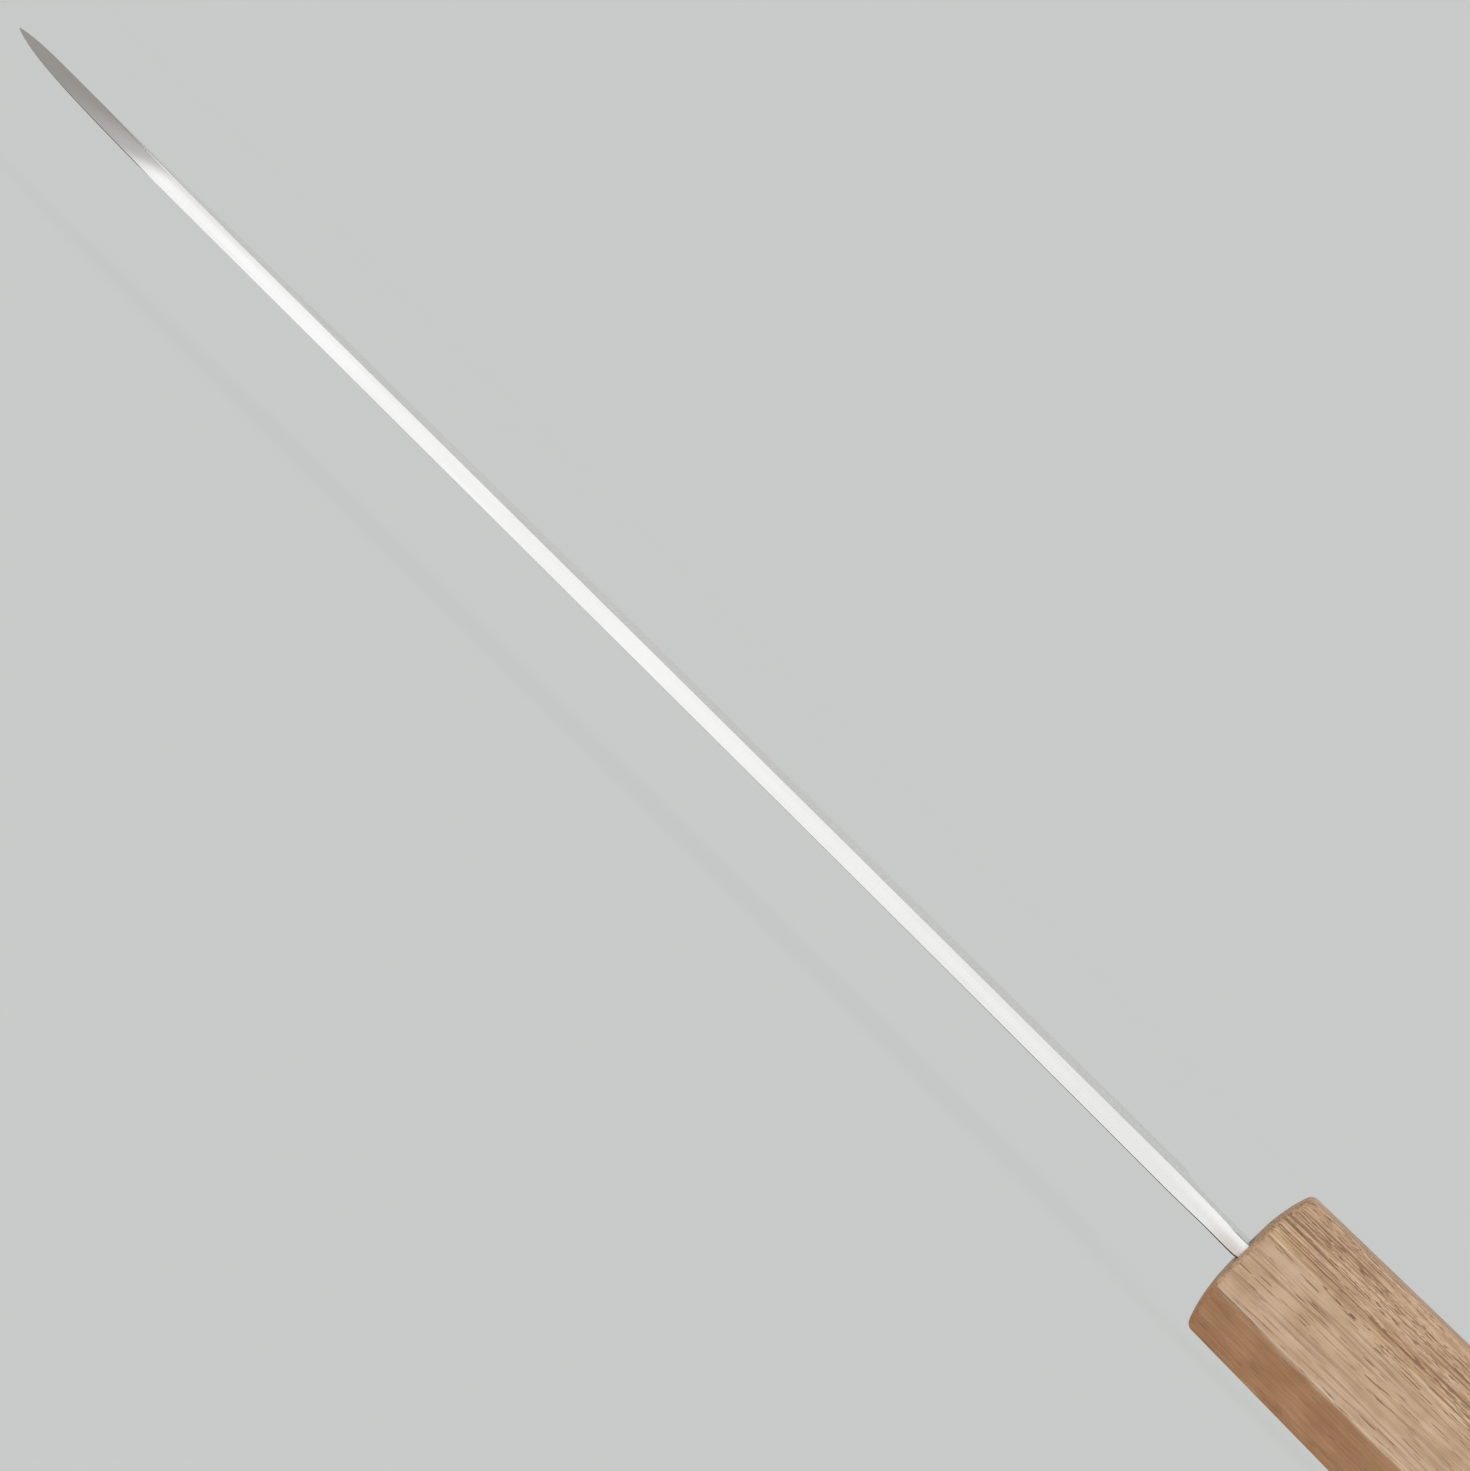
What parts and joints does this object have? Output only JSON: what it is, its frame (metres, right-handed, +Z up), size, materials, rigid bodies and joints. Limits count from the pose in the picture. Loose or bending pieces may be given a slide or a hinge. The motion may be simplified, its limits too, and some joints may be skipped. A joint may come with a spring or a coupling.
{
  "type": "gyuto knife",
  "caption": "Japanese cook's knife with a long thin three-layer steel blade and a tapered octagonal wooden handle.",
  "frame": {"origin": "under the middle of the whole knife, level with the lowest point of the handle, with the knife lying on its left side", "axes": "+X runs from the butt to the tip, +Y from the edge to the spine, +Z up through the thickness of the blade, out of its right face"},
  "size_m": [0.3604, 0.0532, 0.0271],
  "materials": {
    "core_steel": "fine satin, brighter than the cladding",
    "cladding_steel": "satin, ground from spine to edge",
    "handle_wood": "oiled, open grain",
    "tang_resin": "cured resin",
    "seal_wax": "dark wax"
  },
  "bodies": {
    "root": {"core_steel": "core_steel", "cladding_left": "cladding_steel", "cladding_right": "cladding_steel", "handle": "handle_wood", "neck_seal": "seal_wax", "tang_resin": "tang_resin"}
  },
  "joints": []
}
